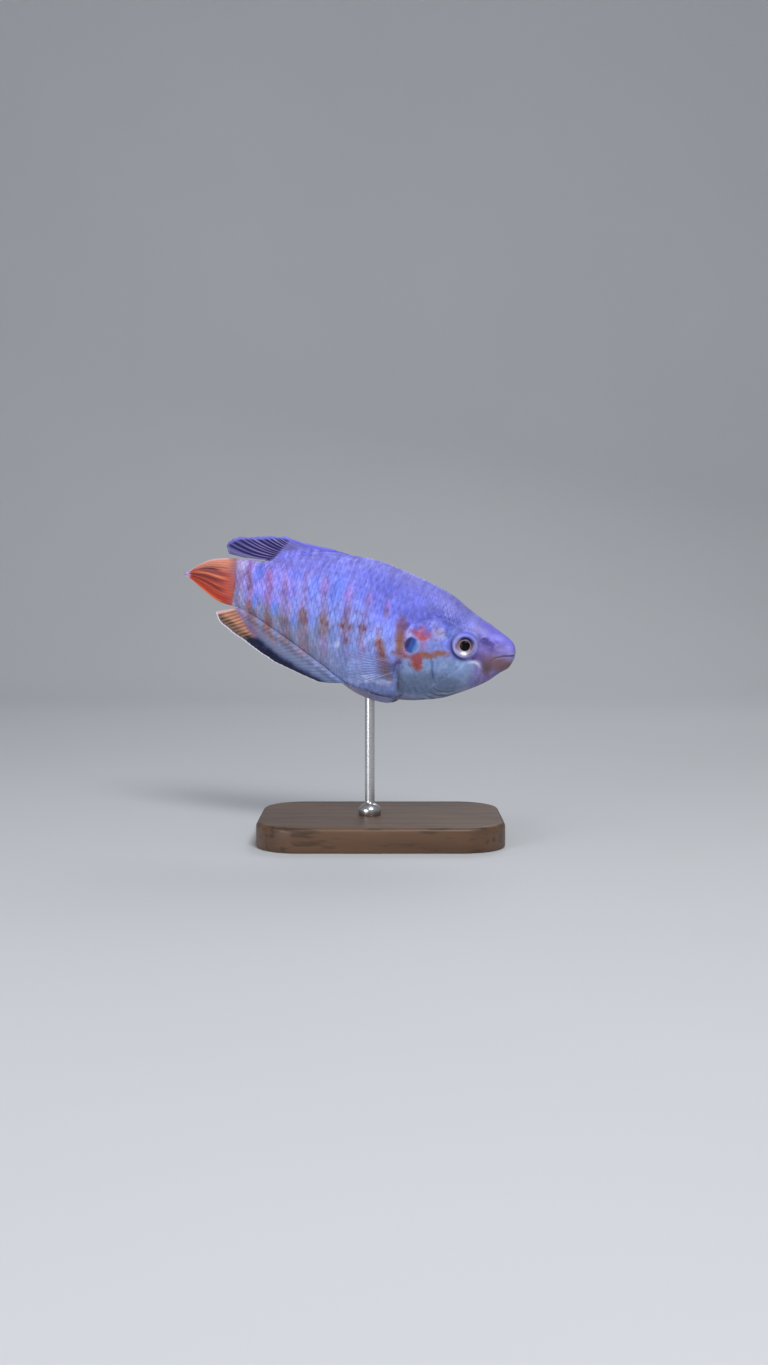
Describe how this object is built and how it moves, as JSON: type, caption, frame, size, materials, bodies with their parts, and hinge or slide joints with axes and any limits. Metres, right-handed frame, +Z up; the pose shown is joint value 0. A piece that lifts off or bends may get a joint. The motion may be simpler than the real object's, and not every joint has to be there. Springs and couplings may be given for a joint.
{
  "type": "paradise fish",
  "caption": "Life-size still model of a paradise fish turning gently with its fins half folded, nose down, held over a flat base by a rod.",
  "frame": {"origin": "centre of the base's underside, which is the plane of the floor", "axes": "+Z up, +X towards the fish's snout, +Y to the fish's left; its right flank faces -Y"},
  "size_m": [0.0706, 0.0409, 0.0624],
  "materials": {
    "skin": "wet satin scales, lavender blue with broken rust red bars",
    "eye": "wet gloss, black pupil in a gold ring with a pale lavender outer ring",
    "dorsal_fin": "satin, slate blue with dark and pale ray streaks",
    "anal_fin": "satin, amber and grey green with a dark band and a white edge",
    "caudal_fin": "satin, red orange with dark ray streaks and a pale tip",
    "paired_fin": "clear thin membrane with pale rays",
    "rod": "brushed satin",
    "base": "oiled dark walnut, satin"
  },
  "bodies": {
    "root": {"head": "skin", "trunk": "skin", "tail": "skin", "eye_left": "eye", "eye_right": "eye", "dorsal_fin": "dorsal_fin", "anal_fin": "anal_fin", "caudal_fin": "caudal_fin", "pectoral_fin_left": "paired_fin", "pectoral_fin_right": "paired_fin", "pelvic_fin_left": "paired_fin", "pelvic_fin_right": "paired_fin", "stand_rod": "rod", "stand_base": "base"}
  },
  "joints": []
}
